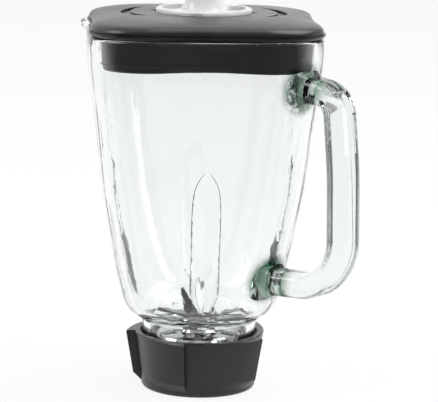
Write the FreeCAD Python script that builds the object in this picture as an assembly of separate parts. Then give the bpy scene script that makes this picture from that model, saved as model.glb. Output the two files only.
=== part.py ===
import FreeCAD, Part
import math
import os

V = FreeCAD.Vector
os.makedirs("parts", exist_ok=True)

# All sizes in millimetres. +Z is up, +X points through the handle,
# the spout points to -X, z = 0 is the flat foot of the collar.

# ---- screw thread ---------------------------------------------------------
PITCH = 5.0
NECK_CREST_R = 35.0
THREAD_H = 1.6
NECK_ROOT_R = NECK_CREST_R - THREAD_H
THREAD_GAP = 0.35
NECK_RIDGE_ROOT = 1.35
NECK_RIDGE_CREST = 0.70
BORE_RIDGE_ROOT = 1.45
BORE_RIDGE_CREST = 0.85
NECK_THREAD_TURNS = 1.9
BORE_THREAD_TURNS = 2.2

# ---- collar ---------------------------------------------------------------
COLLAR_H = 35.0
BORE_R = NECK_CREST_R + THREAD_GAP
COLLAR_WALL = 4.45
COLLAR_TOP_R = BORE_R + COLLAR_WALL
COLLAR_DRAFT = 5.0
COLLAR_FOOT_R = COLLAR_TOP_R - COLLAR_DRAFT
COLLAR_MOUTH_R = BORE_R + 0.85
COLLAR_MOUTH_H = 2.4
COLLAR_FOOT_ROUND = 2.0
LUG_COUNT = 5
LUG_OUT = 5.2
LUG_FOOT_OUT = 4.4
LUG_FOOT_Z = 8.5
LUG_CHAMFER_H = 5.5
LUG_FACE_DEG = -59.9
LEDGE_Z = 15.0
LEDGE_T = 3.6
LEDGE_HOLE_R = 24.0
FOOT_WALL = 3.6
RECESS_R = COLLAR_FOOT_R - FOOT_WALL

# ---- jar ------------------------------------------------------------------
RIM_Z = 221.0
RIM_HALF_W = 70.8
RIM_CORNER_R = 36.0
RIM_WALL = 4.4
NECK_WALL = 3.8
NECK_BORE_R = NECK_ROOT_R - NECK_WALL
SEAL_T = 2.2
FLANGE_T = 1.0
NECK_FOOT_Z = LEDGE_Z + FLANGE_T + SEAL_T
NECK_THREAD_Z = NECK_FOOT_Z + 3.4
BORE_THREAD_Z = NECK_THREAD_Z - PITCH / 2
JAR_SPLIT = 40.0
NECK_TOP_Z = COLLAR_H + 2.5
JAR_OUTER = [
    # z, half width across the flats, corner radius
    (NECK_TOP_Z, NECK_CREST_R, NECK_CREST_R),
    (40.5, 36.4, 36.4),
    (45.0, 40.5, 40.0),
    (50.0, 44.6, 42.0),
    (56.0, 47.4, 42.0),
    (66.0, 50.2, 40.0),
    (85.0, 53.9, 37.0),
    (115.0, 59.2, 35.0),
    (150.0, 63.9, 34.0),
    (185.0, 68.1, 34.5),
    (RIM_Z, RIM_HALF_W, RIM_CORNER_R),
]
WALL_T = [(NECK_TOP_Z, 5.4), (40.5, 5.6), (45.0, 6.2), (50.0, 6.4), (56.0, 6.2),
          (66.0, 5.6), (85.0, 5.0), (115.0, 4.6), (150.0, 4.4),
          (185.0, 4.4),
          (RIM_Z, RIM_WALL)]
RIB_TOP_Z = 144.0
RIB_FOOT_Z = 52.0
RIB_POINT = 15.0
RIB_HALF_W = 8.7
RIB_H = 6.4
RIM_ROUND = 1.7
SPOUT_REACH = 14.4
SPOUT_R = 17.0
SPOUT_H = 19.0
SPOUT_ROWS = [
    # share of the height, share of the reach, growth of the radius
    (0.0, -0.18, 5.0),
    (0.26, 0.01, 3.2),
    (0.47, 0.38, 1.8),
    (0.66, 0.78, 0.6),
    (0.84, 0.99, 0.0),
    (1.0, 1.0, 0.0),
]
SPOUT_WALL = 4.2

# ---- handle ---------------------------------------------------------------
HANDLE_PATH = [(77.0, 193.6), (105.4, 192.0), (110.4, 146.0), (112.0, 77.0),
               (49.0, 74.2)]
HANDLE_BENDS = [14.0, 260.0, 31.0]
HANDLE_T = 15.0
HANDLE_W = 19.0
HANDLE_ROUND = 5.4
ROOT_FLARE = 1.40
ROOT_SINK_TOP = 3.6
ROOT_SINK_LOW = 8.0
ROOT_REACH = 10.0

# ---- lid ------------------------------------------------------------------
LID_INSET = 2.4
LID_W = RIM_HALF_W - LID_INSET
LID_R = RIM_CORNER_R - LID_INSET
LID_SPLIT = 50.0
LID_FOOT_H = 1.0
LID_LIP_T = 2.6
LID_LIP_ROUND = 0.6
LID_STEP = 0.9
LID_CROWN_H = 11.2
LID_LEDGE_H = 5.0
LID_CEIL_H = 7.6
LID_TOP_Z = RIM_Z + LID_CROWN_H
LID_LEDGE_Z = RIM_Z + LID_LEDGE_H
LID_CEIL_Z = RIM_Z + LID_CEIL_H
LID_DOME = [
    # step in from the edge, share of the dome's height
    (0.0, 0.0),
    (0.5, 0.26),
    (2.2, 0.49),
    (6.0, 0.67),
    (14.0, 0.84),
    (26.0, 0.96),
    (38.0, 1.0),
]
CAP_SEAT_DROP = 1.5
CAP_SEAT_Z = LID_TOP_Z - CAP_SEAT_DROP
CAP_FLANGE_R = 29.3
CAP_FLANGE_GAP = 0.5
CAP_FLANGE_T = 3.9
LID_BORE_R = 23.2
LID_TUBE_T = 2.2
LID_TUBE_H = 16.7
GROOVE_ARC_R = 31.0
GROOVE_OFF = 19.5
GROOVE_W = 6.0
GROOVE_DEPTH = 1.2
CRESCENT_DEG = 45.0
NOTCH_DEG = 33.0
NOTCH_OUT = 4.2

# ---- gasket ---------------------------------------------------------------
SKIRT_INSET = 10.4
SKIRT_W = LID_W - SKIRT_INSET
SKIRT_R = LID_R - 6.1
SKIRT_SPLIT = 61.0
SKIRT_DEPTH = 19.0
SKIRT_FOOT_Z = RIM_Z - SKIRT_DEPTH
SKIRT_WALL = 2.6
SKIRT_LIP = 1.2

# ---- filler cap -----------------------------------------------------------
CAP_CUP_GAP = 0.5
CAP_CUP_WALL = 1.8
CAP_CUP_H = 18.7
CAP_DECK_T = 3.4
KNOB_W = 20.0
KNOB_L = 34.0
KNOB_H = 16.4
KNOB_WALL = 2.2
WELL_FLOOR = 1.4
CAP_DEG = 33.0

# ---- blade unit -----------------------------------------------------------
FLANGE_R = BORE_R - 2.15
CROWN_GAP = 2.0
CROWN_R = NECK_BORE_R - CROWN_GAP
CROWN_Z = 35.4
PRESS_T = 1.2
BOSS_RISE = 3.6
BOSS_Z = CROWN_Z + BOSS_RISE
SHAFT_R = 4.0
RUN_GAP = 0.05
BUSH_T = 2.8
BUSH_R = SHAFT_R + BUSH_T
BUSH_H = 8.0
HOUSING_WALL = 2.8
HOUSING_R = BUSH_R + HOUSING_WALL
HOUSING_STEP = 1.1
BOSS_R = HOUSING_R + PRESS_T + HOUSING_STEP + 0.1
HOUSING_TOP_Z = BOSS_Z + 2.2
HOUSING_FOOT_Z = 14.0
LIP_SEAL_H = 3.0
SEAL_RING_IN_R = CROWN_R + 1.1
SEAL_RING_OUT_R = NECK_ROOT_R - 0.4

# ---- cutting blades -------------------------------------------------------
THRUST_T = 1.2
STACK_Z = HOUSING_TOP_Z + THRUST_T
WASHER_T = 1.0
BLADE_T = 1.5
BLADE_BEVEL = 2.2
BLADE_EDGE = 0.35
HUB_R = 6.5
SPACER_T = 1.4
LOWER_REACH = 26.0
LOWER_RISE = 3.2
LOWER_HALF = 5.6
UPPER_REACH = 16.0
UPPER_RISE = 16.6
UPPER_HALF = 4.8
STUD_R = 3.0
NUT_AF = 11.0
NUT_H = 3.6
NUT_DOME = 3.0
LOWER_DEG = 40.0
UPPER_DEG = 89.0

# ---- drive ----------------------------------------------------------------
SOCKET_R = 10.5
SOCKET_Z = 1.2
CLIP_H = 0.9
END_PLAY = 0.2
LOW_WASHER_T = 0.9
CLIP_TOP_Z = HOUSING_FOOT_Z - END_PLAY - LOW_WASHER_T
SOCKET_TOP_Z = CLIP_TOP_Z - CLIP_H - 0.4
SOCKET_GRIP = 2.4
SQUARE_AF = 8.4


def polar(r, deg, z):
    a = math.radians(deg)
    return V(r * math.cos(a), r * math.sin(a), z)


def revolve(points):
    """Solid of revolution about Z from (r, z) corner points."""
    wire = Part.makePolygon([V(r, 0, z) for r, z in points + [points[0]]])
    return Part.Face(wire).revolve(V(0, 0, 0), V(0, 0, 1), 360)


def tube(r_out, r_in, z0, z1):
    body = Part.makeCylinder(r_out, z1 - z0, V(0, 0, z0))
    if r_in <= 0:
        return body
    return body.cut(Part.makeCylinder(r_in, z1 - z0 + 2, V(0, 0, z0 - 1)))


def turned(shape, deg):
    out = shape.copy()
    out.rotate(V(0, 0, 0), V(0, 0, 1), deg)
    return out


def one_solid(shape):
    """The single solid of a shape; small slivers are refused."""
    solids = sorted(shape.Solids, key=lambda s: -s.Volume)
    if len(solids) > 1 and solids[1].Volume > 0.01:
        raise ValueError("more than one solid")
    return solids[0]


def interpolate(table, z):
    for (z0, v0), (z1, v1) in zip(table, table[1:]):
        if z <= z1:
            return v0 + (v1 - v0) * (z - z0) / (z1 - z0)
    return table[-1][1]


def lobe_centre(w, r, split):
    """Distance from the axis to the centre of each corner arc."""
    if abs(w - r) < 0.001:
        return 0.0
    phi = math.radians(split)
    c45 = math.sqrt(0.5)
    n = (w - r) * math.sin(phi) / (c45 - math.sin(phi))
    return (w + n - r) * math.cos(phi) - n * c45


def lobe_reach(w, r, split):
    """Distance from the axis to the tip of each corner."""
    return lobe_centre(w, r, split) + r


def lobed_wire(w, r, split, z):
    """Rounded square of tangent arcs with its corners on X and Y.

    w is half the width across the flats, r the corner radius and split
    half the angle of a corner arc: under 45 the sides bow out, over 45
    they dip in.
    """
    m = lobe_centre(w, r, split)
    phi = math.radians(split)
    c45 = math.sqrt(0.5)
    sx = m + r * math.cos(phi)
    sy = r * math.sin(phi)
    edges = []
    for k in range(4):
        c, s = math.cos(k * math.pi / 2), math.sin(k * math.pi / 2)

        def put(x, y):
            return V(c * x - s * y, s * x + c * y, z)

        edges.append(
            Part.Arc(put(sx, -sy), put(m + r, 0), put(sx, sy)).toShape())
        edges.append(Part.Arc(
            put(sx, sy), put(w * c45, w * c45), put(sy, sx)).toShape())
    return Part.Wire(edges)


def lobed_loft(sections):
    """Smooth solid through rows of (z, half width, radius, split)."""
    wires = [lobed_wire(w, r, split, z) for z, w, r, split in sections]
    return Part.makeLoft(wires, True, False, False, 3)


def lobed_prism(w, r, split, z0, z1):
    face = Part.Face(lobed_wire(w, r, split, z0))
    return face.extrude(V(0, 0, z1 - z0))


def thread(radius, z0, turns, root_half, crest_half, height, outward):
    """Helical ridge with a trapezoid section, sunk 0.4 mm in its wall."""
    sign = 1 if outward else -1
    helix = Part.makeHelix(PITCH, PITCH * turns, radius)
    helix.translate(V(0, 0, z0))
    slope = (root_half - crest_half) / height
    sink = 0.4
    corners = [
        V(radius - sign * sink, 0, z0 - root_half - slope * sink),
        V(radius + sign * height, 0, z0 - crest_half),
        V(radius + sign * height, 0, z0 + crest_half),
        V(radius - sign * sink, 0, z0 + root_half + slope * sink),
    ]
    profile = Part.makePolygon(corners + [corners[0]])
    return Part.Wire(helix.Edges).makePipeShell([profile], True, True)


# ---- jar --------------------------------------------------------------------
def spout_nose(shrink):
    wires = []
    for height, share, grow in SPOUT_ROWS:
        z = RIM_Z - SPOUT_H * (1 - height)
        radius = SPOUT_R + grow
        tip = wall_corner(z) + SPOUT_REACH * share
        r = radius - shrink
        wires.append(Part.Wire(Part.makeCircle(
            r, V(-(tip - shrink - r), 0, z))))
    return Part.makeLoft(wires, True, False, False, 3)


def handle_spine():
    """Centre line of the handle: straight runs joined by round bends."""
    p = HANDLE_PATH
    edges = []
    cursor = V(p[0][0], 0, p[0][1])
    for corner, after, bend in zip(p[1:-1], p[2:], HANDLE_BENDS):
        knee = V(corner[0], 0, corner[1])
        u = (knee - cursor).normalize()
        w = (V(after[0], 0, after[1]) - knee).normalize()
        sweep = math.acos(u.dot(w))
        back = bend * math.tan(sweep / 2)
        t0 = knee - u * back
        t1 = knee + w * back
        inward = (w - u).normalize()
        middle = knee + inward * (bend / math.cos(sweep / 2) - bend)
        edges.append(Part.LineSegment(cursor, t0).toShape())
        edges.append(Part.Arc(t0, middle, t1).toShape())
        cursor = t1
    end = V(p[-1][0], 0, p[-1][1])
    edges.append(Part.LineSegment(cursor, end).toShape())
    return Part.Wire(edges)


def bar_wire(r, z, heading, thick, wide, rnd):
    """Rounded rectangle across the handle's centre line."""
    nx, nz = -math.sin(heading), math.cos(heading)
    h, w = thick / 2, wide / 2
    k = rnd * (1 - math.cos(math.pi / 4))
    spots = [
        ((h, -w + rnd), (h, w - rnd), None),
        ((h, w - rnd), (h - rnd, w), (h - k, w - k)),
        ((h - rnd, w), (-h + rnd, w), None),
        ((-h + rnd, w), (-h, w - rnd), (-h + k, w - k)),
        ((-h, w - rnd), (-h, -w + rnd), None),
        ((-h, -w + rnd), (-h + rnd, -w), (-h + k, -w + k)),
        ((-h + rnd, -w), (h - rnd, -w), None),
        ((h - rnd, -w), (h, -w + rnd), (h - k, -w + k)),
    ]

    def put(q):
        return V(r + nx * q[0], q[1], z + nz * q[0])

    edges = []
    for start, end, middle in spots:
        if middle is None:
            edges.append(Part.LineSegment(put(start), put(end)).toShape())
        else:
            edges.append(Part.Arc(put(start), put(middle), put(end)).toShape())
    return Part.Wire(edges)


def jar_half(z):
    return interpolate([(row[0], row[1]) for row in JAR_OUTER], z)


def jar_radius(z):
    return interpolate([(row[0], row[2]) for row in JAR_OUTER], z)


def wall_corner(z):
    """Distance from the axis to the jar's outer corner at height z."""
    return lobe_reach(jar_half(z), jar_radius(z), JAR_SPLIT)


def root_flare(start, heading, sink):
    """Trumpet-shaped foot where the bar runs into the wall."""
    wires = []
    for step, grow in [(0.0, ROOT_FLARE), (sink, ROOT_FLARE * 0.95),
                       (sink + ROOT_REACH * 0.35, 1.13),
                       (sink + ROOT_REACH, 1.0)]:
        wires.append(bar_wire(
            start[0] + step * math.cos(heading),
            start[1] + step * math.sin(heading), heading,
            HANDLE_T * grow, HANDLE_W * grow, HANDLE_ROUND * grow))
    return Part.makeLoft(wires, True, False, False, 3)


def make_handle():
    p = HANDLE_PATH
    top = math.atan2(p[1][1] - p[0][1], p[1][0] - p[0][0])
    low = math.atan2(p[-2][1] - p[-1][1], p[-2][0] - p[-1][0])
    section = bar_wire(p[0][0], p[0][1], top, HANDLE_T, HANDLE_W,
                       HANDLE_ROUND)
    bar = handle_spine().makePipeShell([section], True, True)
    return bar.fuse([root_flare(p[0], top, ROOT_SINK_TOP),
                     root_flare(p[-1], low, ROOT_SINK_LOW)])


def make_rib(deg):
    """Pencil-shaped ridge on the inside of one flat face."""
    rows = [(RIB_FOOT_Z, 0.12), (RIB_FOOT_Z + RIB_POINT * 0.5, 0.60),
            (RIB_FOOT_Z + RIB_POINT, 0.97), (RIB_FOOT_Z + RIB_POINT * 2, 1.0),
            ((RIB_FOOT_Z + RIB_TOP_Z) / 2, 1.0),
            (RIB_TOP_Z - RIB_POINT * 1.7, 0.99),
            (RIB_TOP_Z - RIB_POINT * 0.8, 0.86),
            (RIB_TOP_Z - RIB_POINT * 0.35, 0.55), (RIB_TOP_Z, 0.12)]
    wires = []
    for z, share in rows:
        wall = jar_half(z) - interpolate(WALL_T, z)
        w = RIB_HALF_W * share
        h = RIB_H * share
        low = wall + 1.6
        pts = [V(low, w, z), V(wall, w, z), V(wall - h * 0.62, w * 0.60, z),
               V(wall - h, 0, z), V(wall - h * 0.62, -w * 0.60, z),
               V(wall, -w, z), V(low, -w, z)]
        crest = [Part.LineSegment(pts[0], pts[1]).toShape()]
        for i in (1, 3):
            curve = Part.BSplineCurve()
            curve.interpolate(pts[i:i + 3])
            crest.append(curve.toShape())
        crest.append(Part.LineSegment(pts[5], pts[6]).toShape())
        crest.append(Part.LineSegment(pts[6], pts[0]).toShape())
        wires.append(Part.Wire(crest))
    return turned(Part.makeLoft(wires, True, False, False, 3), deg)


def make_jar():
    body = lobed_loft([(z, w, r, JAR_SPLIT) for z, w, r in JAR_OUTER])
    neck = revolve([(0, NECK_FOOT_Z), (NECK_ROOT_R - 0.8, NECK_FOOT_Z),
                    (NECK_ROOT_R, NECK_FOOT_Z + 0.8),
                    (NECK_ROOT_R, COLLAR_H - 1.4),
                    (NECK_CREST_R, COLLAR_H - 0.4),
                    (NECK_CREST_R, NECK_TOP_Z + 0.5), (0, NECK_TOP_Z + 0.5)])
    jar = body.fuse([neck, spout_nose(0), make_handle()])
    inner = []
    for z, w, r in JAR_OUTER:
        t = interpolate(WALL_T, z)
        inner.append((z, w - t, r - t, JAR_SPLIT))
    inner.append((RIM_Z + 2.0, inner[-1][1] + 0.16, inner[-1][2] + 0.1,
                  JAR_SPLIT))
    cavity = lobed_loft(inner)
    bore = Part.makeCylinder(NECK_BORE_R, NECK_TOP_Z + 0.5 - LEDGE_Z,
                             V(0, 0, LEDGE_Z))
    nose = spout_nose(SPOUT_WALL)
    lift = nose.copy()
    lift.translate(V(0, 0, 0.6))
    jar = jar.cut([cavity, bore, lift, Part.makeBox(
        60, 60, 3, V(-110, -30, RIM_Z))])
    rim = [e for e in jar.Edges
           if e.BoundBox.ZMin > RIM_Z - 0.01 and e.BoundBox.ZMax < RIM_Z + 0.01]
    jar = jar.makeFillet(RIM_ROUND, rim)
    ribs = [make_rib(45 + 90 * k) for k in range(4)]
    ridge = thread(NECK_ROOT_R, NECK_THREAD_Z, NECK_THREAD_TURNS,
                   NECK_RIDGE_ROOT, NECK_RIDGE_CREST, THREAD_H, True)
    jar = jar.fuse(ribs + [ridge])
    return one_solid(jar)


# ---- collar -----------------------------------------------------------------
def lug_wire(k, z, base_r, tip_r):
    """Ratchet-shaped lug: a slow rise that ends in a radial face."""
    face = LUG_FACE_DEG + 360 / LUG_COUNT * k
    span = 0.8 * 360 / LUG_COUNT
    start = polar(base_r - 0.3, face - span, z)
    middle = polar(base_r + (tip_r - base_r) * 0.32, face - span * 0.45, z)
    tip = polar(tip_r, face, z)
    inner_tip = polar(base_r - 3.0, face, z)
    inner_start = polar(base_r - 3.0, face - span, z)
    inner_mid = polar(base_r - 3.0, face - span / 2, z)
    return Part.Wire([
        Part.Arc(start, middle, tip).toShape(),
        Part.LineSegment(tip, inner_tip).toShape(),
        Part.Arc(inner_tip, inner_mid, inner_start).toShape(),
        Part.LineSegment(inner_start, start).toShape(),
    ])


def collar_r(z):
    return COLLAR_FOOT_R + COLLAR_DRAFT * z / COLLAR_H


def make_lug(k):
    foot = LUG_FOOT_Z - LUG_CHAMFER_H
    foot_r = collar_r(foot) - 0.5
    base_r = collar_r(LUG_FOOT_Z)
    edge = COLLAR_H - 0.6
    return Part.makeLoft([
        lug_wire(k, foot, foot_r, foot_r + 0.1),
        lug_wire(k, LUG_FOOT_Z, base_r, base_r + LUG_FOOT_OUT),
        lug_wire(k, edge, COLLAR_TOP_R, COLLAR_TOP_R + LUG_OUT),
        lug_wire(k, COLLAR_H, COLLAR_TOP_R - 0.6,
                 COLLAR_TOP_R + LUG_OUT - 0.6)], True, True)


def make_collar():
    f = COLLAR_FOOT_ROUND
    outer = revolve([(0, 0), (COLLAR_FOOT_R - f, 0),
                     (COLLAR_FOOT_R - f * 0.3, f * 0.3),
                     (collar_r(f), f), (COLLAR_TOP_R - 0.1, COLLAR_H - 0.6),
                     (COLLAR_TOP_R - 0.7, COLLAR_H), (0, COLLAR_H)])
    collar = outer.fuse([make_lug(k) for k in range(LUG_COUNT)])
    mouth = COLLAR_H - COLLAR_MOUTH_H
    collar = collar.cut([
        revolve([(0, LEDGE_Z), (BORE_R, LEDGE_Z), (BORE_R, mouth),
                 (COLLAR_MOUTH_R, mouth + 1.0),
                 (COLLAR_MOUTH_R, COLLAR_H + 1), (0, COLLAR_H + 1)]),
        Part.makeCylinder(LEDGE_HOLE_R, COLLAR_H, V(0, 0, -5)),
        Part.makeCylinder(RECESS_R, LEDGE_Z - LEDGE_T + 5, V(0, 0, -5)),
    ])
    ridge = thread(BORE_R, BORE_THREAD_Z, BORE_THREAD_TURNS,
                   BORE_RIDGE_ROOT, BORE_RIDGE_CREST, THREAD_H, False)
    return one_solid(collar.fuse(ridge))


# ---- blade unit ---------------------------------------------------------------
def make_blade_base():
    z0 = LEDGE_Z
    t = PRESS_T
    profile = [
        (FLANGE_R, z0), (FLANGE_R, z0 + FLANGE_T),
        (CROWN_R + 0.6, z0 + FLANGE_T), (CROWN_R, z0 + FLANGE_T + 0.6),
        (CROWN_R - 0.5, CROWN_Z - 2.4), (CROWN_R - 1.2, CROWN_Z - 0.9),
        (CROWN_R - 2.6, CROWN_Z), (BOSS_R + 4, CROWN_Z + 0.5),
        (BOSS_R + 1.6, CROWN_Z + 0.9), (BOSS_R, BOSS_Z - 0.8),
        (BOSS_R - 0.8, BOSS_Z), (HOUSING_R, BOSS_Z),
        (HOUSING_R, BOSS_Z - t), (BOSS_R - t, BOSS_Z - t),
        (BOSS_R - t, CROWN_Z - t), (CROWN_R - 3.2, CROWN_Z - t),
        (CROWN_R - 2.2, CROWN_Z - 2.6), (CROWN_R - t - 0.5, z0 + 1.6),
        (CROWN_R - t, z0),
    ]
    return revolve(profile)


def make_housing():
    """Stepped sleeve that carries both bushings and the lip seal."""
    r = HOUSING_R
    top = HOUSING_TOP_Z
    foot = HOUSING_FOOT_Z
    under = BOSS_Z - PRESS_T
    profile = [
        (BUSH_R, top), (r - 0.8, top), (r, top - 0.8), (r, under),
        (r + HOUSING_STEP, under), (r + HOUSING_STEP, under - 2.4),
        (r, under - 2.4), (r, foot + 1.0), (r - 1.0, foot),
        (BUSH_R, foot), (BUSH_R, foot + BUSH_H),
        (SHAFT_R + 1.0, foot + BUSH_H),
        (SHAFT_R + 1.0, top - BUSH_H - LIP_SEAL_H),
        (BUSH_R, top - BUSH_H - LIP_SEAL_H),
    ]
    return revolve(profile)


def make_bushing(z0, z1):
    c = 0.5
    return revolve([
        (SHAFT_R + RUN_GAP + c, z0), (BUSH_R - c, z0), (BUSH_R, z0 + c),
        (BUSH_R, z1 - c), (BUSH_R - c, z1), (SHAFT_R + RUN_GAP + c, z1),
        (SHAFT_R + RUN_GAP, z1 - c), (SHAFT_R + RUN_GAP, z0 + c)])


def make_shaft_seal():
    """Lip seal: a ring with a V groove in its upper face."""
    z0 = HOUSING_TOP_Z - BUSH_H - LIP_SEAL_H
    z1 = z0 + LIP_SEAL_H
    r_in = SHAFT_R + RUN_GAP
    mid = (r_in + BUSH_R) / 2
    return revolve([(r_in, z0), (BUSH_R, z0), (BUSH_R, z1), (mid + 0.6, z1),
                    (mid, z0 + 1.4), (mid - 0.6, z1), (r_in, z1)])


def make_seal_ring():
    z0 = LEDGE_Z + FLANGE_T
    z1 = z0 + SEAL_T
    return revolve([
        (SEAL_RING_IN_R, z0), (SEAL_RING_OUT_R, z0),
        (SEAL_RING_OUT_R, z0 + 0.7), (SEAL_RING_OUT_R - 0.3, z0 + 1.1),
        (SEAL_RING_OUT_R, z0 + 1.5), (SEAL_RING_OUT_R, z1 - 0.3),
        (SEAL_RING_OUT_R - 0.3, z1), (SEAL_RING_IN_R + 0.3, z1),
        (SEAL_RING_IN_R, z1 - 0.3)])


# ---- rotor --------------------------------------------------------------------
Z_WASHER = STACK_Z
Z_LOWER = Z_WASHER + WASHER_T
Z_SPACER = Z_LOWER + BLADE_T
Z_UPPER = Z_SPACER + SPACER_T
Z_LOCK = Z_UPPER + BLADE_T
Z_NUT = Z_LOCK + WASHER_T


def make_shaft():
    c = 0.5
    return revolve([
        (0, SOCKET_TOP_Z - SOCKET_GRIP), (SHAFT_R, SOCKET_TOP_Z - SOCKET_GRIP),
        (SHAFT_R, CLIP_TOP_Z - CLIP_H), (SHAFT_R - 0.6, CLIP_TOP_Z - CLIP_H),
        (SHAFT_R - 0.6, CLIP_TOP_Z), (SHAFT_R, CLIP_TOP_Z),
        (SHAFT_R, Z_WASHER), (STUD_R, Z_WASHER),
        (STUD_R, Z_NUT + NUT_H - c), (STUD_R - c, Z_NUT + NUT_H),
        (0, Z_NUT + NUT_H)])


def arm_section(r, z, tilt, trail, lead):
    """Blade cross-section with a ground bevel along its leading edge."""
    a = math.radians(tilt)
    nx, nz = -math.sin(a), math.cos(a)
    bevel = min(BLADE_BEVEL, lead * 0.8)
    spots = [(-trail, 0), (lead, 0), (lead, BLADE_EDGE),
             (lead - bevel, BLADE_T), (-trail, BLADE_T)]
    pts = [V(r + nx * h, y, z + nz * h) for y, h in spots]
    return Part.makePolygon(pts + [pts[0]])


def make_blade(z, reach, rise, half, deg):
    """Flat hub with two bent, tapered and ground arms."""
    bend = HUB_R + 1.2
    tilt = math.degrees(math.atan2(rise, reach - bend))
    middle = (bend + reach) / 2
    rows = [
        (HUB_R * 0.5, 0.0, 0.0, half, half),
        (bend - 0.7, 0.0, 0.0, half, half),
        (bend + 0.7, 0.7 * math.tan(math.radians(tilt / 2)), tilt,
         half * 0.98, half * 0.98),
        (middle, rise * 0.5, tilt, half * 0.66, half * 0.86),
        (reach, rise, tilt, half * 0.18, half * 0.42)]
    arm = Part.makeLoft([arm_section(*row) for row in rows], True, True)
    hub = Part.makeCylinder(HUB_R, BLADE_T)
    body = hub.fuse([arm, turned(arm, 180)])
    body = turned(body.cut(Part.makeCylinder(STUD_R, 10, V(0, 0, -5))), deg)
    body.translate(V(0, 0, z))
    return one_solid(body)


def make_nut():
    """Acorn nut: hexagon with a chamfered foot and a dome."""
    corner = NUT_AF / math.sqrt(3)
    pts = [polar(corner, 60 * k, Z_NUT) for k in range(6)]
    hexagon = Part.Face(Part.makePolygon(pts + [pts[0]])).extrude(
        V(0, 0, NUT_H))
    cone = revolve([(0, Z_NUT), (NUT_AF / 2 - 0.1, Z_NUT),
                    (corner + 0.2, Z_NUT + 0.8), (corner + 0.2, Z_NUT + 2.8),
                    (NUT_AF / 2 - 0.2, Z_NUT + NUT_H), (0, Z_NUT + NUT_H)])
    base_r = NUT_AF / 2 - 1.0
    ball = (base_r ** 2 + NUT_DOME ** 2) / (2 * NUT_DOME)
    dome = Part.makeSphere(ball, V(0, 0, Z_NUT + NUT_H + NUT_DOME - ball))
    dome = dome.common(Part.makeCylinder(20, 20, V(0, 0, Z_NUT + NUT_H - 0.2)))
    nut = hexagon.common(cone).fuse(dome)
    return one_solid(nut.cut(
        Part.makeCylinder(STUD_R, NUT_H, V(0, 0, Z_NUT))))


def make_socket():
    """Drive cup with a square hole for the motor's square pin."""
    body = revolve([
        (0, SOCKET_Z), (SOCKET_R - 0.8, SOCKET_Z),
        (SOCKET_R, SOCKET_Z + 0.8), (SOCKET_R, SOCKET_TOP_Z - 0.8),
        (SOCKET_R - 0.8, SOCKET_TOP_Z), (0, SOCKET_TOP_Z)])
    h = SQUARE_AF / 2
    depth = SOCKET_TOP_Z - SOCKET_GRIP - SOCKET_Z
    hole = Part.makeBox(2 * h, 2 * h, depth + 1, V(-h, -h, SOCKET_Z - 1))
    lead = Part.makeLoft([
        Part.makePolygon([V(x * (h + 0.9), y * (h + 0.9), SOCKET_Z - 0.1)
                          for x, y in SQUARE_LOOP]),
        Part.makePolygon([V(x * h, y * h, SOCKET_Z + 0.8)
                          for x, y in SQUARE_LOOP])], True, True)
    shaft_hole = Part.makeCylinder(
        SHAFT_R, 5, V(0, 0, SOCKET_TOP_Z - SOCKET_GRIP))
    return one_solid(body.cut([hole, lead, shaft_hole]))


SQUARE_LOOP = [(-1, -1), (1, -1), (1, 1), (-1, 1), (-1, -1)]


def make_ring_clip():
    ring = tube(SHAFT_R + 2.0, SHAFT_R - 0.6, CLIP_TOP_Z - CLIP_H, CLIP_TOP_Z)
    gap = Part.makeBox(10, 3.0, 3, V(0, -1.5, CLIP_TOP_Z - 2))
    return one_solid(ring.cut(gap))


# ---- lid ----------------------------------------------------------------------
def crescent(deg):
    """Crescent groove cutter: the space between two arcs."""
    r1 = GROOVE_ARC_R
    half = math.radians(62)
    top = V(GROOVE_OFF + r1 * math.cos(half), r1 * math.sin(half), 0)
    low = V(top.x, -top.y, 0)
    out = V(GROOVE_OFF + r1, 0, 0)
    inn = V(GROOVE_OFF + r1 - GROOVE_W, 0, 0)
    face = Part.Face(Part.Wire([Part.Arc(top, out, low).toShape(),
                                Part.Arc(low, inn, top).toShape()]))
    cutter = face.extrude(V(0, 0, 20))
    return turned(cutter, deg)


def dome_sections(drop):
    """Rows of the domed lid top, from the lip to the crown."""
    foot = RIM_Z + LID_FOOT_H + LID_LIP_T
    rows = []
    for step, share in LID_DOME:
        w = LID_W - LID_STEP - step
        z = foot + (LID_TOP_Z - foot) * share
        rows.append((z - drop, w, LID_R * w / LID_W, LID_SPLIT))
    return rows


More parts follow.
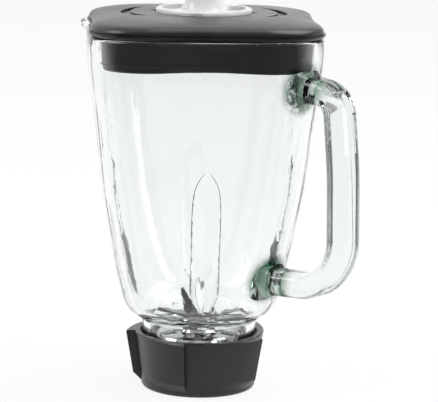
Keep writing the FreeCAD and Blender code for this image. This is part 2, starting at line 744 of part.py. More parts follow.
def make_lid():
    lip_z = RIM_Z + LID_FOOT_H
    lip_top = lip_z + LID_LIP_T - 0.6
    e = LID_LIP_ROUND
    lip = lobed_loft([(lip_z, LID_W - e, LID_R - e, LID_SPLIT),
                      (lip_z + e, LID_W, LID_R, LID_SPLIT),
                      (lip_top, LID_W, LID_R, LID_SPLIT)])
    groove = lobed_prism(LID_W - LID_STEP - 0.5, LID_R - LID_STEP,
                         LID_SPLIT, lip_top - 0.1, lip_top + 0.7)
    dome = lobed_loft(dome_sections(0))
    foot = lobed_prism(LID_W - 2.4, LID_R - 1.0, LID_SPLIT,
                       RIM_Z, lip_z + 0.4)
    lid = lip.fuse([groove, dome, foot])
    pocket = lobed_prism(LID_W - 3.9, LID_R - 1.9, LID_SPLIT,
                         RIM_Z - 1, LID_LEDGE_Z)
    upper = lobed_loft([
        (LID_LEDGE_Z - 0.2, SKIRT_W - 4.0, SKIRT_R - 1.5, LID_SPLIT),
        (LID_CEIL_Z, SKIRT_W - 10.0, SKIRT_R - 4.5, LID_SPLIT)])
    lid = lid.cut([pocket, upper])
    tube_foot = CAP_SEAT_Z - LID_TUBE_H
    lid = lid.fuse(tube(LID_BORE_R + LID_TUBE_T, 0, tube_foot, CAP_SEAT_Z))
    lid = lid.cut([
        Part.makeCylinder(LID_BORE_R, 2 * LID_TUBE_H + LID_LIP_T,
                          V(0, 0, tube_foot - LID_LIP_T)),
        Part.makeCylinder(CAP_FLANGE_R + CAP_FLANGE_GAP, LID_TUBE_H,
                          V(0, 0, CAP_SEAT_Z))])
    cuts = []
    for k in range(2):
        cut = crescent(CRESCENT_DEG + 180 * k)
        cut.translate(V(0, 0, lip_z))
        cuts.append(cut.cut(lobed_loft(dome_sections(GROOVE_DEPTH))))
        cuts.append(turned(lid_notch(), NOTCH_DEG + 180 * k))
    return one_solid(lid.cut(cuts))


def lid_notch():
    """Three-sided notch beside the cap's seat."""
    r = CAP_FLANGE_R
    notch = Part.makePolygon([V(r - 2, -NOTCH_OUT, 0), V(r + NOTCH_OUT, 0, 0),
                              V(r - 2, NOTCH_OUT, 0), V(r - 2, -NOTCH_OUT, 0)])
    wedge = Part.Face(notch).extrude(V(0, 0, 6))
    wedge.translate(V(0, 0, CAP_SEAT_Z))
    return wedge


def make_gasket():
    """Lobed plug: hollow skirt with a sealing lip and a foot bead."""
    f = SKIRT_FOOT_Z
    w, r, sp = SKIRT_W, SKIRT_R, SKIRT_SPLIT
    outer = lobed_loft([
        (f, w - 1.6, r - 0.8, sp), (f + 1.2, w - 0.7, r - 0.4, sp),
        (f + 3.0, w - 0.4, r - 0.2, sp), (f + 12.0, w, r, sp),
        (LID_LEDGE_Z, w, r, sp)])
    bead = lobed_loft([
        (f + 3.2, w - 0.8, r - 0.4, sp), (f + 3.8, w + 0.2, r + 0.1, sp),
        (f + 4.4, w - 0.8, r - 0.4, sp)])
    lip = lobed_loft([
        (RIM_Z - 3.4, w - 0.4, r - 0.2, sp),
        (RIM_Z - 2.0, w + SKIRT_LIP, r + SKIRT_LIP * 1.6, sp - 1.0),
        (RIM_Z - 0.8, w + SKIRT_LIP, r + SKIRT_LIP * 1.6, sp - 1.0),
        (RIM_Z - 0.4, w - 0.4, r - 0.2, sp)])
    inner = lobed_loft([
        (f - 1, w - SKIRT_WALL - 0.8, r - 2.8, sp),
        (LID_LEDGE_Z + 1, w - SKIRT_WALL, r - SKIRT_WALL, sp)])
    return one_solid(outer.fuse([bead, lip]).cut(inner))


def make_cap():
    """Clear measuring cap: cup, round flange, two wells and a grip."""
    seat = CAP_SEAT_Z
    top = seat + CAP_FLANGE_T
    knob = top + KNOB_H
    mouth = seat - CAP_CUP_H
    cup_r = LID_BORE_R - CAP_CUP_GAP
    body = revolve([
        (0, mouth), (cup_r - 1.6, mouth), (cup_r - 0.8, seat),
        (CAP_FLANGE_R - 0.6, seat), (CAP_FLANGE_R, seat + 0.6),
        (CAP_FLANGE_R, top - 1.3), (CAP_FLANGE_R - 0.4, top - 0.5),
        (CAP_FLANGE_R - 1.4, top), (0, top)])
    deck = seat - CAP_DECK_T
    hollow = revolve([
        (0, mouth - 1), (cup_r - 1.6 - CAP_CUP_WALL, mouth - 1),
        (cup_r - 0.8 - CAP_CUP_WALL, deck), (0, deck)])
    wells = []
    for k in range(2):
        wells.append(Part.makeLoft([
            well_wire(k, seat + WELL_FLOOR, 0.0),
            well_wire(k, top + 1, 1.6)], True, False))
    grip = Part.makeLoft([
        grip_wire(KNOB_W + 9, KNOB_L + 5, top - 0.6),
        grip_wire(KNOB_W + 3.4, KNOB_L + 2, top + KNOB_H * 0.1),
        grip_wire(KNOB_W + 0.8, KNOB_L, top + KNOB_H * 0.28),
        grip_wire(KNOB_W, KNOB_L - 1.4, knob - 3.0),
        grip_wire(KNOB_W - 1.2, KNOB_L - 3.4, knob - 1.0),
        grip_wire(KNOB_W - 4.0, KNOB_L - 6.4, knob)], True, False)
    inside = Part.makeLoft([
        grip_wire(KNOB_W - 2 * KNOB_WALL, KNOB_L - 5, deck - 0.6),
        grip_wire(KNOB_W - 2 * KNOB_WALL - 1, KNOB_L - 7, knob - 3.0)],
        True, True)
    cap = body.cut([hollow] + wells).fuse(grip).cut(inside)
    slots = []
    for k in range(2):
        slot = Part.makeBox(7.2, 3.0, 2.2, V(-3.6, CAP_FLANGE_R - 2.4,
                                             seat + 0.7))
        slots.append(turned(slot, 180 * k))
    return one_solid(turned(cap.cut(slots), CAP_DEG))


def well_wire(k, z, grow):
    """Kidney outline of a finger well beside the grip."""
    sign = 1 if k == 0 else -1
    r_out = CAP_FLANGE_R - 4.7 + grow * 0.6
    r_in = KNOB_W / 2 + 4.4 - grow * 0.6
    half = 30 + grow * 1.6
    edges = []
    shift = 0 if sign > 0 else 180
    a, b, c, d = (polar(r_out, shift - half, z), polar(r_out, shift + half, z),
                  polar(r_in, shift + half, z), polar(r_in, shift - half, z))
    edges.append(Part.Arc(a, polar(r_out, shift, z), b).toShape())
    edges.append(Part.Arc(b, polar((r_out + r_in) / 2 + 0.4,
                                   shift + half + 13, z), c).toShape())
    edges.append(Part.Arc(c, polar(r_in, shift, z), d).toShape())
    edges.append(Part.Arc(d, polar((r_out + r_in) / 2 + 0.4,
                                   shift - half - 13, z), a).toShape())
    return Part.Wire(edges)


def grip_wire(w, l, z):
    """Stadium outline, long along Y."""
    r = w / 2
    s = l / 2 - r
    return Part.Wire([
        Part.LineSegment(V(r, -s, z), V(r, s, z)).toShape(),
        Part.Arc(V(r, s, z), V(0, s + r, z), V(-r, s, z)).toShape(),
        Part.LineSegment(V(-r, s, z), V(-r, -s, z)).toShape(),
        Part.Arc(V(-r, -s, z), V(0, -s - r, z), V(r, -s, z)).toShape()])


def save(shape, name):
    if not shape.isValid():
        raise ValueError("invalid shape " + name)
    shape.exportStep("parts/" + name + ".step")
    box = shape.BoundBox
    print("%-16s %8.0f mm3  x %.1f..%.1f  y %.1f..%.1f  z %.1f..%.1f" % (
        name, shape.Volume, box.XMin, box.XMax, box.YMin, box.YMax,
        box.ZMin, box.ZMax))


save(make_jar(), "glass_jar")
save(make_collar(), "collar")
save(make_blade_base(), "blade_base")
save(make_housing(), "bearing_housing")
save(make_bushing(HOUSING_TOP_Z - BUSH_H, HOUSING_TOP_Z), "upper_bushing")
save(make_bushing(HOUSING_FOOT_Z, HOUSING_FOOT_Z + BUSH_H), "lower_bushing")
save(make_shaft_seal(), "shaft_seal")
save(make_seal_ring(), "sealing_ring")
save(make_shaft(), "drive_shaft")
save(tube(BUSH_R + 0.2, SHAFT_R, HOUSING_TOP_Z, STACK_Z),
     "upper_thrust_washer")
save(tube(BUSH_R - 0.2, SHAFT_R, CLIP_TOP_Z, CLIP_TOP_Z + LOW_WASHER_T),
     "lower_thrust_washer")
save(make_ring_clip(), "retaining_ring")
save(tube(HUB_R, STUD_R, Z_WASHER, Z_LOWER), "blade_washer")
save(make_blade(Z_LOWER, LOWER_REACH, LOWER_RISE, LOWER_HALF, LOWER_DEG),
     "lower_blade")
save(tube(HUB_R - 0.6, STUD_R, Z_SPACER, Z_UPPER), "blade_spacer")
save(make_blade(Z_UPPER, UPPER_REACH, UPPER_RISE, UPPER_HALF, UPPER_DEG),
     "upper_blade")
save(tube(5.4, STUD_R, Z_LOCK, Z_NUT), "lock_washer")
save(make_nut(), "blade_nut")
save(make_socket(), "drive_socket")
save(make_lid(), "lid_cover")
save(make_gasket(), "lid_gasket")
save(make_cap(), "filler_cap")
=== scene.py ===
import math

import bpy
import numpy as np
from mathutils import Matrix, Vector


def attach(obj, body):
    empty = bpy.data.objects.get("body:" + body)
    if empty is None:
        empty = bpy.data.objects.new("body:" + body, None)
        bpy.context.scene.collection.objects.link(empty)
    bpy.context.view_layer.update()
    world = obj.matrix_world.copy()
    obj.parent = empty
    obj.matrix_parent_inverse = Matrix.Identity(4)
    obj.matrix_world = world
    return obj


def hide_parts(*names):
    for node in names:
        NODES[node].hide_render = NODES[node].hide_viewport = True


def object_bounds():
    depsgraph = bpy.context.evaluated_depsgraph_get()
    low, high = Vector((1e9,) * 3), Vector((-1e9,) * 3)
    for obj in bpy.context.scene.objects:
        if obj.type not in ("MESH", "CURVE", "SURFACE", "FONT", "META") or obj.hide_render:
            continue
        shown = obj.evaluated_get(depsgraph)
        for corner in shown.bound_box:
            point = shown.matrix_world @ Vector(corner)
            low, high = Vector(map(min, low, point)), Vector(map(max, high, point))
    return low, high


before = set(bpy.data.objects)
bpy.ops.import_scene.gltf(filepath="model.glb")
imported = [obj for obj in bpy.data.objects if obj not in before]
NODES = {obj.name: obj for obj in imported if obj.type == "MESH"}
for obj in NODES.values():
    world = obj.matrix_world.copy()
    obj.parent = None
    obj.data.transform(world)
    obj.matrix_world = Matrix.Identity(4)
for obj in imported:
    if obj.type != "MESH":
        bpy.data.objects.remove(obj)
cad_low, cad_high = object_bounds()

# ---- camera, in metres and degrees ------------------------------------------
CAMERA_AZIMUTH = 41.13
CAMERA_PITCH = 10.32
CAMERA_ROLL = 1.05
CAMERA_AWAY = 1.5027
CAMERA_SIDE = 0.0111
CAMERA_HEIGHT = 0.3895
LENS_MM = 204.9
SENSOR_MM = 36.0

# ---- floor and room: a size in metres, and shares of full white -------------
FLOOR_HALF = 12.0
FLOOR_GREY = (0.90, 0.90, 0.90)
FLOOR_GLOW = 0.86
MIRROR_SHADE = 0.08
WINDOW_GAP = 0.42
SKY_LIGHT = 0.60
FURNITURE_DARK = (0.30, 0.30, 0.26)
FURNITURE_LIGHT = (0.92, 0.91, 0.88)

# ---- the glass, in metres where it has a size -------------------------------
GLASS_IOR = 1.52
CLEAR = (0.99, 1.0, 0.995)
GREEN_IN_DEPTH = (0.55, 0.74, 0.66)
GREEN_PER_METRE = 7.0
# At the handle's roots: a dark green tint, partly the green of thick glass and partly
# painted shade for refracted dark surroundings, and its reach.
ROOT_GREEN_AND_SHADE = (0.020, 0.095, 0.045)
ROOT_TOP = (0.080, 0.0, 0.193)
ROOT_LOW = (0.0570, 0.0, 0.075)
ROOT_SHADE_CORE, ROOT_SHADE_END = 0.011, 0.019

# ---- colours of the other materials, and the blades' turns in degrees -------
HAZY_PLASTIC = (0.97, 0.97, 0.985)
BLACK_PLASTIC = (0.010, 0.010, 0.011)
BLACK_RUBBER = (0.009, 0.009, 0.010)
POLISHED_STEEL = (0.46, 0.46, 0.47)
SPUN_STEEL = (0.50, 0.50, 0.51)
BLADE_STEEL = (0.34, 0.34, 0.35)
SOCKET_STEEL = (0.42, 0.42, 0.43)
BRONZE = (0.60, 0.42, 0.22)
NYLON = (0.80, 0.79, 0.74)
SOFT_RUBBER = (0.045, 0.045, 0.045)
LOWER_ARM_TURN = 40.0
UPPER_ARM_TURN = 89.0


# ---- node helpers -----------------------------------------------------------
class Nodes:
    """A node tree with short calls for the nodes that are used here."""

    def __init__(self, tree, output):
        self.tree = tree
        self.tree.nodes.clear()
        self.out = self.add(output)

    def add(self, kind, **settings):
        node = self.tree.nodes.new(kind)
        for key, value in settings.items():
            setattr(node, key, value)
        return node

    def link(self, source, target):
        self.tree.links.new(source, target)

    def feed(self, value, socket):
        """Links a node's output to a socket, or writes a plain number."""
        if isinstance(value, (int, float)):
            socket.default_value = value
        else:
            self.link(value, socket)

    def dot(self, vector, fixed):
        node = self.add("ShaderNodeVectorMath", operation="DOT_PRODUCT")
        node.inputs[1].default_value = fixed
        self.link(vector, node.inputs[0])
        return node.outputs["Value"]

    def math(self, operation, *values):
        node = self.add("ShaderNodeMath", operation=operation)
        for value, socket in zip(values, node.inputs):
            self.feed(value, socket)
        return node.outputs[0]

    def blend(self, share, first, second):
        """First number where share is 0, second where it is 1."""
        node = self.add("ShaderNodeMix", data_type="FLOAT")
        self.feed(share, node.inputs[0])
        self.feed(first, node.inputs[2])
        self.feed(second, node.inputs[3])
        return node.outputs[0]

    def noise(self, vector, scale, detail=3.0, roughness=0.5):
        node = self.add("ShaderNodeTexNoise")
        node.inputs["Scale"].default_value = scale
        node.inputs["Detail"].default_value = detail
        node.inputs["Roughness"].default_value = roughness
        self.link(vector, node.inputs["Vector"])
        return node.outputs["Fac"]

    def near(self, place, centre, inner, outer):
        """1 within the inner distance of a point, 0 beyond the outer one."""
        node = self.add("ShaderNodeVectorMath", operation="DISTANCE")
        node.inputs[1].default_value = centre
        self.link(place, node.inputs[0])
        return self.ramp(node.outputs["Value"], 1.0, 0.0, inner, outer,
                         smooth=True)

    def ramp(self, source, low, high, start=0.3, end=0.7, smooth=False):
        """Maps a value between start and end to a range of numbers."""
        node = self.add("ShaderNodeMapRange")
        if smooth:
            node.interpolation_type = "SMOOTHSTEP"
        node.inputs["From Min"].default_value = start
        node.inputs["From Max"].default_value = end
        node.inputs["To Min"].default_value = low
        node.inputs["To Max"].default_value = high
        self.link(source, node.inputs["Value"])
        return node.outputs["Result"]

    def tint(self, source, dark, light, start=0.35, end=0.65):
        """Maps a texture's value to a blend of two colours."""
        node = self.add("ShaderNodeValToRGB")
        node.color_ramp.elements[0].position = start
        node.color_ramp.elements[1].position = end
        node.color_ramp.elements[0].color = (*dark, 1)
        node.color_ramp.elements[1].color = (*light, 1)
        self.link(source, node.inputs["Fac"])
        return node.outputs["Color"]


class Shader(Nodes):
    """A new node material."""

    def __init__(self, name):
        self.material = bpy.data.materials.new(name)
        self.material.use_nodes = True
        super().__init__(self.material.node_tree, "ShaderNodeOutputMaterial")

    def principled(self, **values):
        node = self.add("ShaderNodeBsdfPrincipled")
        for key, value in values.items():
            node.inputs[key.replace("_", " ")].default_value = value
        self.link(node.outputs[0], self.out.inputs["Surface"])
        return node

    def mix_shader(self, share, first, second):
        node = self.add("ShaderNodeMixShader")
        self.link(share, node.inputs[0])
        self.link(first.outputs[0], node.inputs[1])
        self.link(second.outputs[0], node.inputs[2])
        return node

    def coordinates(self, stretch=(1, 1, 1)):
        """Place on the object in metres, stretched along its axes."""
        place = self.add("ShaderNodeTexCoord")
        scale = self.add("ShaderNodeMapping")
        scale.inputs["Scale"].default_value = stretch
        self.link(place.outputs["Object"], scale.inputs["Vector"])
        return scale.outputs["Vector"]

    def bump(self, height, strength, distance, under=None):
        node = self.add("ShaderNodeBump")
        node.inputs["Strength"].default_value = strength
        node.inputs["Distance"].default_value = distance
        self.link(height, node.inputs["Height"])
        if under is not None:
            self.link(under, node.inputs["Normal"])
        return node.outputs["Normal"]

    def rings(self, count_per_metre):
        """Turned marks: noise that changes only with the distance from Z."""
        place = self.add("ShaderNodeTexCoord")
        flat = self.add("ShaderNodeVectorMath", operation="MULTIPLY")
        flat.inputs[1].default_value = (1, 1, 0)
        self.link(place.outputs["Object"], flat.inputs[0])
        radius = self.add("ShaderNodeVectorMath", operation="LENGTH")
        self.link(flat.outputs["Vector"], radius.inputs[0])
        noise = self.add("ShaderNodeTexNoise", noise_dimensions="1D")
        noise.inputs["Scale"].default_value = count_per_metre
        noise.inputs["Detail"].default_value = 4.0
        self.link(radius.outputs["Value"], noise.inputs["W"])
        return noise.outputs["Fac"]


# ---- materials --------------------------------------------------------------
def root_green_and_shade(s):
    """Where the handle runs into the wall the glass is thick and green; the dark green
    swirls there are partly that green and partly painted shade for the dark surroundings
    that the thick glass refracts.
    """
    place = s.coordinates()
    top = s.near(place, ROOT_TOP, ROOT_SHADE_CORE, ROOT_SHADE_END)
    low = s.near(place, ROOT_LOW, ROOT_SHADE_CORE, ROOT_SHADE_END)
    cloud = s.noise(place, scale=95.0, detail=3.0, roughness=0.65)
    swirl = s.ramp(cloud, 0.0, 1.0, start=0.31, end=0.46, smooth=True)
    share = s.math("MULTIPLY", s.math("MAXIMUM", top, low), swirl)
    return s.tint(share, CLEAR, ROOT_GREEN_AND_SHADE, start=0.0, end=1.0)


def clear_glass():
    """Pressed soda-lime glass: faint green in depth, softly uneven."""
    s = Shader("clear_glass")
    p = s.principled(Roughness=0.0, IOR=GLASS_IOR, Transmission_Weight=1.0)
    # Painted shade: dark green swirls at the handle's roots, over the clear colour.
    s.link(root_green_and_shade(s), p.inputs["Base Color"])
    wave = s.noise(s.coordinates((1, 1, 0.45)), scale=38.0, detail=1.0)
    fine = s.noise(s.coordinates(), scale=240.0, detail=2.0)
    soft = s.bump(wave, strength=0.25, distance=0.002)
    uneven = s.bump(fine, strength=0.10, distance=0.0003, under=soft)
    s.link(uneven, p.inputs["Normal"])
    depth = s.add("ShaderNodeVolumeAbsorption")
    depth.inputs["Color"].default_value = (*GREEN_IN_DEPTH, 1)
    depth.inputs["Density"].default_value = GREEN_PER_METRE
    s.link(depth.outputs[0], s.out.inputs["Volume"])
    return s.material


def clear_plastic():
    """Natural injection-moulded plastic: clear, with a milky haze."""
    s = Shader("clear_plastic")
    p = s.principled(Roughness=0.10, IOR=1.49, Transmission_Weight=0.40,
                     Base_Color=(*HAZY_PLASTIC, 1))
    flow = s.noise(s.coordinates((1, 1, 0.6)), scale=90.0, detail=2.0)
    s.link(s.bump(flow, strength=0.2, distance=0.0008), p.inputs["Normal"])
    return s.material


def moulded_black(name, colour, roughness, grain):
    """Black moulded plastic or rubber: grain, soft wear and dust."""
    s = Shader(name)
    p = s.principled(IOR=1.5)
    place = s.coordinates()
    cloud = s.noise(place, scale=26.0, detail=4.0)
    light = tuple(c * 1.5 + 0.002 for c in colour)
    s.link(s.tint(cloud, colour, light), p.inputs["Base Color"])
    s.link(s.ramp(cloud, roughness * 0.85, roughness * 1.2),
           p.inputs["Roughness"])
    pits = s.noise(place, scale=2600.0, detail=2.0)
    hollows = s.noise(place, scale=60.0, detail=1.0)
    broad = s.bump(hollows, strength=0.08, distance=0.001)
    s.link(s.bump(pits, grain, distance=0.00006, under=broad),
           p.inputs["Normal"])
    return s.material


def turned_metal(name, colour, roughness, marks=5200.0, relief=0.12):
    """Metal with the fine rings that spinning or turning leaves."""
    s = Shader(name)
    p = s.principled(Metallic=1.0, Anisotropic=0.35)
    rings = s.rings(marks)
    stain = s.noise(s.coordinates(), scale=55.0, detail=4.0)
    dull = tuple(c * 0.86 for c in colour)
    s.link(s.tint(stain, dull, colour), p.inputs["Base Color"])
    s.link(s.ramp(rings, roughness * 0.8, roughness * 1.35),
           p.inputs["Roughness"])
    s.link(s.bump(rings, relief, distance=0.00004), p.inputs["Normal"])
    return s.material


def ground_metal(name, colour, roughness, along_degrees):
    """Blade steel with straight grinding marks across the arms."""
    s = Shader(name)
    p = s.principled(Metallic=1.0)
    place = s.add("ShaderNodeTexCoord")
    turn = s.add("ShaderNodeMapping")
    turn.inputs["Rotation"].default_value = (
        0, 0, math.radians(-along_degrees))
    turn.inputs["Scale"].default_value = (1, 0.06, 1)
    s.link(place.outputs["Object"], turn.inputs["Vector"])
    marks = s.noise(turn.outputs["Vector"], scale=4200.0)
    stain = s.noise(place.outputs["Object"], scale=120.0)
    dull = tuple(c * 0.8 for c in colour)
    s.link(s.tint(stain, dull, colour), p.inputs["Base Color"])
    s.link(s.ramp(marks, roughness * 0.7, roughness * 1.4),
           p.inputs["Roughness"])
    s.link(s.bump(marks, strength=0.15, distance=0.00003),
           p.inputs["Normal"])
    return s.material


def matt_solid(name, colour, roughness, grain):
    """Nylon, rubber and sintered metal: speckled and slightly rough."""
    s = Shader(name)
    p = s.principled(IOR=1.5)
    speck = s.noise(s.coordinates(), scale=1500.0)
    dark = tuple(c * 0.8 for c in colour)
    s.link(s.tint(speck, dark, colour), p.inputs["Base Color"])
    s.link(s.ramp(speck, roughness * 0.9, roughness * 1.1),
           p.inputs["Roughness"])
    s.link(s.bump(speck, grain, distance=0.00005), p.inputs["Normal"])
    return s.material


def paint(material, *names):
    """Gives every material slot of the named CAD nodes one material."""
    for name in names:
        mesh = NODES[name].data
        if not mesh.materials:
            mesh.materials.append(material)
        for k in range(len(mesh.materials)):
            mesh.materials[k] = material


def dress():
    """Materials of the CAD nodes that are shown as they are."""
    paint(clear_plastic(), "filler_cap")
    paint(moulded_black("black_plastic", BLACK_PLASTIC, roughness=0.30,
                        grain=0.25), "lid_cover", "collar")
    paint(turned_metal("polished_steel", POLISHED_STEEL, roughness=0.05,
                       marks=1800.0, relief=0.03),
          "blade_base", "bearing_housing")
    paint(turned_metal("spun_steel", SPUN_STEEL, roughness=0.16),
          "blade_washer", "blade_spacer", "lock_washer", "retaining_ring",
          "drive_shaft")
    paint(ground_metal("lower_blade_steel", BLADE_STEEL, roughness=0.22,
                       along_degrees=LOWER_ARM_TURN), "lower_blade")
    paint(ground_metal("upper_blade_steel", BLADE_STEEL, roughness=0.22,
                       along_degrees=UPPER_ARM_TURN), "upper_blade")
    paint(turned_metal("nut_steel", SPUN_STEEL, roughness=0.14), "blade_nut")
    paint(turned_metal("socket_steel", SOCKET_STEEL, roughness=0.34),
          "drive_socket")
    paint(turned_metal("bronze", BRONZE, roughness=0.38),
          "upper_bushing", "lower_bushing")
    paint(matt_solid("nylon", NYLON, roughness=0.5, grain=0.3),
          "upper_thrust_washer", "lower_thrust_washer")
    paint(matt_solid("soft_rubber", SOFT_RUBBER, roughness=0.7, grain=0.4),
          "sealing_ring", "shaft_seal")


# ---- pieces that stand for CAD nodes ----------------------------------------
# Sizes here are in millimetres, as on a drawing. What stays of a rib and what
# is added to a root are shares.
MM_PER_METRE = 1000.0
NORMAL_STEP = 0.02
# The straight neck, and how far the shoulder rises over it.
NECK_LOW, NECK_HIGH = 35.0, 37.5
NECK_RAISE, RAISE_FADE = 5.1, 7.0
# The wall's inner face: height, and half width across the flats.
INNER_WALL = [
    (37.5, 29.6), (45.0, 34.3), (50.0, 38.2), (56.0, 41.2), (66.0, 44.6),
    (85.0, 48.9), (115.0, 54.6), (150.0, 59.5), (185.0, 63.7),
]
WALL_BOW = 470.0
# The ribs: where they are, and the share of their height that stays.
RIB_LOW, RIB_HIGH = 50.0, 146.0
RIB_REACH, RIB_LIMIT = 10.0, 8.0
RIB_KEEP_TOP, RIB_KEEP_MORE = 0.22, 0.30
RIB_FADE_START, RIB_FADE_END = 76.0, 118.0
RIB_FOOT_START, RIB_FOOT_END = 51.0, 60.0
# The thicker wall in the shoulder: heights, and radii between its two faces.
SHOULDER_Z = (37.5, 45.0, 50.0, 56.0, 66.0)
BETWEEN_FACES = (32.3, 37.4, 41.4, 45.4, 49.5)
SHOULDER_EXTRA, SHOULDER_MID, SHOULDER_SPAN = 2.6, 45.8, 4.2
# The handle's roots.
ROOT_CORE, ROOT_SPREAD = 2.0, 24.0
ROOT_LENGTH, ROOT_BACK = 15.0, 4.0
ROOT_SWELL = 0.16
# The lid's skirt.
SKIRT_LOW, SKIRT_HIGH = 213.0, 219.0
SKIRT_HOLLOW = 4.0


def smooth_step(value, start, end):
    """0 below the start, 1 above the end and a soft rise between them."""
    share = np.clip((value - start) / (end - start), 0.0, 1.0)
    return share * share * (3.0 - 2.0 * share)


def drawn_in(points, distance):
    """The points moved by a distance towards the Z axis."""
    radius = np.hypot(points[:, 0], points[:, 1])
    moved = points.copy()
    moved[:, :2] *= (1.0 - distance / np.maximum(radius, 1.0))[:, None]
    return moved


def raise_shoulder(points):
    """Lifts the shoulder, so that a straight glass neck shows under it."""
    z = points[:, 2]
    above = NECK_RAISE * np.exp((NECK_HIGH - z) / RAISE_FADE)
    below = NECK_RAISE * (z - NECK_LOW) / (NECK_HIGH - NECK_LOW)
    moved = points.copy()
    moved[:, 2] += np.where(z > NECK_HIGH, above, np.maximum(below, 0.0))
    return moved


def soften_ribs(points):
    """Lowers the four inner ribs, and fades them towards their tops."""
    moved = points.copy()
    z = points[:, 2]
    inner_face = np.interp(z, *zip(*INNER_WALL))
    high_enough = (z > RIB_LOW) & (z < RIB_HIGH)
    keep = RIB_KEEP_TOP + RIB_KEEP_MORE * (
        1.0 - smooth_step(z, RIB_FADE_START, RIB_FADE_END))
    keep = keep * smooth_step(z, RIB_FOOT_START, RIB_FOOT_END)
    for k in range(4):
        turn = math.radians(45 + 90 * k)
        out = np.array((math.cos(turn), math.sin(turn)))
        along = np.array((-out[1], out[0]))
        side = points[:, :2] @ along
        reach = points[:, :2] @ out
        wall = inner_face - side * side / WALL_BOW
        rise = np.maximum(wall - reach, 0.0)
        rib = high_enough & (np.abs(side) < RIB_REACH) & (rise < RIB_LIMIT)
        lower = np.where(rib, rise * (1.0 - keep), 0.0)
        moved[:, :2] += lower[:, None] * out
    return moved


def thicken_shoulder(points):
    """Draws the inner face in, where the neck turns into the shoulder."""
    radius = np.hypot(points[:, 0], points[:, 1])
    z = points[:, 2]
    inner = radius < np.interp(z, SHOULDER_Z, BETWEEN_FACES)
    bump = SHOULDER_EXTRA * np.exp(-((z - SHOULDER_MID) / SHOULDER_SPAN) ** 2)
    return drawn_in(points, np.where(inner, bump, 0.0))


def swell_roots(points):
    """Widens both ends of the handle where they run into the wall."""
    moved = points.copy()
    for centre in (ROOT_TOP, ROOT_LOW):
        off = points - np.array(centre) * MM_PER_METRE
        round_it = np.hypot(off[:, 1], off[:, 2])
        share = 1.0 - smooth_step(round_it, ROOT_CORE, ROOT_SPREAD)
        share = share * (1.0 - smooth_step(off[:, 0], 0.0, ROOT_LENGTH))
        share = share * smooth_step(off[:, 0], -ROOT_LENGTH, -ROOT_BACK)
        moved[:, 1:] += ROOT_SWELL * share[:, None] * off[:, 1:]
    return moved


def reshape_glass(points):
    """All the changes to the glass, in the order in which they fit."""
    return raise_shoulder(
        thicken_shoulder(soften_ribs(swell_roots(points))))


def hollow_skirt(points):
    """Draws the lid's skirt in between its corners, in four soft waves."""
    x, y, z = points.T
    wave = (1.0 - np.cos(4.0 * np.arctan2(y, x))) / 2.0
    below = 1.0 - smooth_step(z, SKIRT_LOW, SKIRT_HIGH)
    return drawn_in(points, SKIRT_HOLLOW * wave * below)


def moved_normals(points, normals, change):
    """Normals of the changed surface, from two short steps along it."""
    helper = np.where(np.abs(normals[:, 2:]) < 0.9, (0.0, 0.0, 1.0),
                      (1.0, 0.0, 0.0))
    first = np.cross(normals, helper)
    first /= np.linalg.norm(first, axis=1)[:, None]
    second = np.cross(normals, first)
    steps = [change(points + NORMAL_STEP * way)
             - change(points - NORMAL_STEP * way)
             for way in (first, second)]
    turned = np.cross(*steps)
    length = np.linalg.norm(turned, axis=1)[:, None]
    return np.where(length > 1e-9, turned / np.maximum(length, 1e-9), normals)


def reshaped(node, change, material, body):
    """A new piece with a CAD node's surface, moved by a smooth rule."""
    mesh = NODES[node].data.copy()
    mesh.name = node + "_shown"
    mm = np.empty(len(mesh.vertices) * 3)
    mesh.vertices.foreach_get("co", mm)
    mm = mm.reshape(-1, 3) * MM_PER_METRE
    corners = np.empty(len(mesh.loops), dtype=np.int64)
    mesh.loops.foreach_get("vertex_index", corners)
    normals = np.empty(len(mesh.loops) * 3)
    mesh.corner_normals.foreach_get("vector", normals)
    normals = moved_normals(mm[corners], normals.reshape(-1, 3), change)
    mesh.vertices.foreach_set("co", (change(mm) / MM_PER_METRE).ravel())
    mesh.update()
    mesh.normals_split_custom_set(normals.tolist())
    for k in range(len(mesh.materials)):
        mesh.materials[k] = material
    piece = bpy.data.objects.new(node + "_shown", mesh)
    bpy.context.scene.collection.objects.link(piece)
    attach(piece, body)
    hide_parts(node)


def make_shown_pieces():
    """The glass and the lid's skirt, in place of their CAD nodes."""
    reshaped("glass_jar", reshape_glass, clear_glass(), "jar")
    rubber = moulded_black("black_rubber", BLACK_RUBBER, roughness=0.42,
                           grain=0.35)
    reshaped("lid_gasket", hollow_skirt, rubber, "lid")


# ---- stage ------------------------------------------------------------------
def floor_material():
    """Pale floor that shows near white and keeps the object's shadow.

    Mirrors see it in shade on the side that the object is seen from.
    """
    s = Shader("pale_floor")
    matt = s.add("ShaderNodeBsdfDiffuse")
    matt.inputs["Color"].default_value = (*FLOOR_GREY, 1)
    glow = s.add("ShaderNodeEmission")
    shaded = s.add("ShaderNodeEmission")
    shaded.inputs["Strength"].default_value = MIRROR_SHADE
    path = s.add("ShaderNodeLightPath").outputs
    place = s.add("ShaderNodeTexCoord").outputs["Object"]
    front = s.ramp(s.dot(place, behind_object()), 1.0, 0.0,
                   start=-0.35, end=0.05)
    share = s.math("MULTIPLY", FLOOR_GLOW,
                   s.math("SUBTRACT", 1.0, path["Is Diffuse Ray"]))
    pale = s.mix_shader(share, matt, glow)
    mirrored = s.math("MULTIPLY", front,
                      s.math("MINIMUM", path["Glossy Depth"], 1.0))
    mix = s.mix_shader(mirrored, pale, shaded)
    s.link(mix.outputs[0], s.out.inputs["Surface"])
    return s.material


def make_floor():
    """A wide square at the height of the object's lowest point."""
    low = cad_low.z
    h = FLOOR_HALF
    mesh = bpy.data.meshes.new("floor")
    mesh.from_pydata([(-h, -h, low), (h, -h, low), (h, h, low), (-h, h, low)],
                     [], [(0, 1, 2, 3)])
    floor = bpy.data.objects.new("floor", mesh)
    bpy.context.scene.collection.objects.link(floor)
    mesh.materials.append(floor_material())


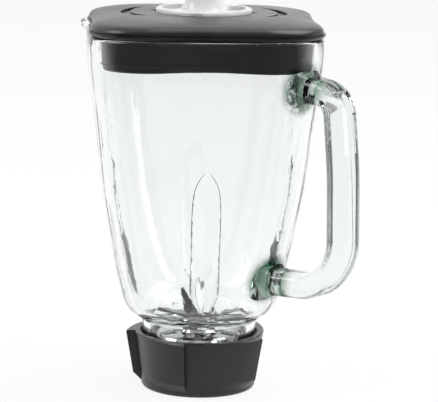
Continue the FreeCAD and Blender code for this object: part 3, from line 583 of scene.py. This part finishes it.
def window_light(s, towards):
    """Eight tall windows around the room, with dimmer wall between.

    They face the eight main viewing directions, so that the glass is as
    clear from every side. cos 8a comes from cos a squared by doubling.
    """
    east = s.dot(towards, (1, 0, 0))
    north = s.dot(towards, (0, 1, 0))
    east_part = s.math("MULTIPLY", east, east)
    level_part = s.math("ADD", east_part, s.math("MULTIPLY", north, north))
    wave = s.math("DIVIDE", east_part, s.math("MAXIMUM", level_part, 0.0001))
    wave = s.math("MULTIPLY_ADD", wave, 2.0, -1.0)
    for _ in range(2):
        wave = s.math("MULTIPLY_ADD", s.math("MULTIPLY", wave, wave),
                      2.0, -1.0)
    windows = s.ramp(wave, WINDOW_GAP, 1.0, start=-0.75, end=0.1,
                     smooth=True)
    ceiling = s.ramp(s.dot(towards, (0, 0, 1)), 0.0, 1.0,
                     start=0.45, end=0.85)
    return s.blend(ceiling, windows, 1.0)


def mirror_light(s, towards):
    """Bright wall behind the object and a dim room in front of it."""
    wall_way = behind_object() * 0.85 + Vector((0, 0, 0.5))
    back = s.ramp(s.dot(towards, wall_way), 0.0, 1.0, start=-0.35, end=0.45,
                  smooth=True)
    return s.blend(back, MIRROR_SHADE, 1.0)


def furniture_share(s, towards):
    """Where the grey and beige things low on the right are."""
    side = s.ramp(s.dot(towards, right_of_object()), 0.0, 1.0,
                  start=0.24, end=0.50, smooth=True)
    low = s.ramp(s.dot(towards, (0, 0, 1)), 1.0, 0.0, start=0.45, end=0.80)
    return s.math("MULTIPLY", side, low)


def make_world():
    """White studio, seen full white, with a room for mirrors and glass."""
    world = bpy.data.worlds.new("studio")
    bpy.context.scene.world = world
    world.use_nodes = True
    s = Nodes(world.node_tree, "ShaderNodeOutputWorld")
    towards = s.add("ShaderNodeTexCoord").outputs["Generated"]
    path = s.add("ShaderNodeLightPath").outputs
    patches = s.noise(towards, scale=3.4, detail=1.5)
    furniture = s.tint(patches, FURNITURE_DARK, FURNITURE_LIGHT,
                       start=0.42, end=0.60)
    plain = s.math("MAXIMUM", path["Is Camera Ray"], path["Is Diffuse Ray"])
    share = s.math("MULTIPLY", furniture_share(s, towards),
                   s.math("SUBTRACT", 1.0, plain))
    colour = s.add("ShaderNodeMix", data_type="RGBA")
    s.link(share, colour.inputs[0])
    colour.inputs[6].default_value = (1, 1, 1, 1)
    s.link(furniture, colour.inputs[7])
    room = s.blend(path["Is Transmission Ray"], mirror_light(s, towards),
                   window_light(s, towards))
    lit = s.blend(path["Is Diffuse Ray"], room, SKY_LIGHT)
    sky = s.add("ShaderNodeBackground")
    s.link(colour.outputs[2], sky.inputs["Color"])
    s.link(s.blend(path["Is Camera Ray"], lit, 1.0), sky.inputs["Strength"])
    s.link(sky.outputs[0], s.out.inputs["Surface"])


def right_of_object():
    """Level direction to the right, as seen from the camera's side."""
    a = math.radians(CAMERA_AZIMUTH)
    return Vector((math.cos(a), math.sin(a), 0))


def behind_object():
    """Level direction from the camera's side to the wall behind."""
    a = math.radians(CAMERA_AZIMUTH)
    return Vector((-math.sin(a), math.cos(a), 0))


def area_light(name, place, target, size, power, in_mirrors=True):
    """A rectangular lamp, with its size in metres and its power in watts."""
    data = bpy.data.lights.new(name, "AREA")
    data.shape = "RECTANGLE"
    data.size, data.size_y = size
    data.energy = power
    lamp = bpy.data.objects.new(name, data)
    bpy.context.scene.collection.objects.link(lamp)
    lamp.location = place
    lamp.visible_glossy = in_mirrors
    lamp.rotation_euler = (Vector(target) - Vector(place)).to_track_quat(
        "-Z", "Y").to_euler()


def make_lights():
    """Key light at the front left, fill at the right and one from above."""
    middle = (cad_low + cad_high) / 2
    area_light("key", (-0.9, -1.3, 1.3), middle, (0.9, 1.2), 14)
    area_light("fill", (1.6, -0.1, 0.7), middle, (0.5, 1.2), 6,
               in_mirrors=False)
    area_light("top", (0.45, 0.6, 1.5), middle, (1.2, 1.2), 15)


def make_camera():
    """A long lens in front of the object, tipped down and rolled a little."""
    pitch = math.radians(CAMERA_PITCH)
    roll = math.radians(CAMERA_ROLL)
    ahead = behind_object()
    right = right_of_object()
    look = ahead * math.cos(pitch) - Vector((0, 0, math.sin(pitch)))
    up = right.cross(look)
    tilted_right = right * math.cos(roll) + up * math.sin(roll)
    tilted_up = up * math.cos(roll) - right * math.sin(roll)
    data = bpy.data.cameras.new("camera")
    data.lens = LENS_MM
    data.sensor_width = SENSOR_MM
    data.clip_start, data.clip_end = 0.05, 50.0
    camera = bpy.data.objects.new("camera", data)
    bpy.context.scene.collection.objects.link(camera)
    turn = Matrix((tilted_right, tilted_up, -look)).transposed()
    camera.matrix_world = Matrix.Translation(
        right * CAMERA_SIDE - ahead * CAMERA_AWAY
        + Vector((0, 0, cad_low.z + CAMERA_HEIGHT))) @ turn.to_4x4()
    bpy.context.scene.camera = camera


def set_rendering():
    """Plain tones, and enough bounces for light to cross all the glass."""
    scene = bpy.context.scene
    scene.view_settings.view_transform = "Standard"
    scene.cycles.max_bounces = 24
    scene.cycles.transmission_bounces = 20
    scene.cycles.glossy_bounces = 8
    scene.cycles.transparent_max_bounces = 16


dress()
make_shown_pieces()
make_floor()
make_world()
make_lights()
make_camera()
set_rendering()
